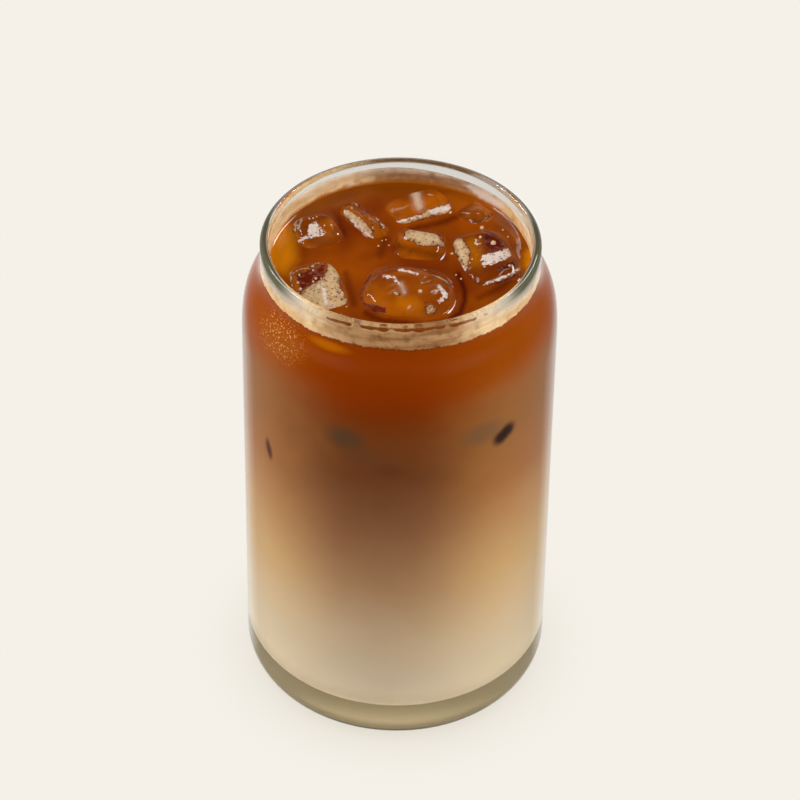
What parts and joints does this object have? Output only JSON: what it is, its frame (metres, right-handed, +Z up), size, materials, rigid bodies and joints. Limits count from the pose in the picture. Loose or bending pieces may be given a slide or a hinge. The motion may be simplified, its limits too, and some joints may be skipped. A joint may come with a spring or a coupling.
{
  "type": "iced flat white",
  "caption": "Iced flat white in a can-shaped glass tumbler: milk, milky coffee and dark coffee in layers, with clear ice breaking the surface.",
  "frame": {"origin": "middle of the glass's flat foot, on the surface it stands on", "axes": "+Z up along the glass's axis, -Y towards the viewer, +X to the viewer's right"},
  "size_m": [0.0772, 0.0772, 0.133],
  "materials": {
    "tumbler_glass": "clear soda-lime glass, smooth and glossy, faint grey-green at its edges",
    "milk": "opaque cream-coloured milk with a little coffee in it, smooth",
    "milky_coffee": "cloudy mid-brown mix of milk and coffee",
    "coffee": "dark orange-brown coffee, glossy and a little translucent",
    "ice": "clear wet ice with frosted, bubbly faces"
  },
  "bodies": {
    "root": {"glass": "tumbler_glass", "milk": "milk", "milky_coffee": "milky_coffee", "coffee": "coffee", "ice_left": "ice", "ice_slab": "ice", "ice_back": "ice", "ice_corner": "ice", "ice_right": "ice", "ice_middle": "ice", "ice_front": "ice", "ice_front_left": "ice"}
  },
  "joints": []
}
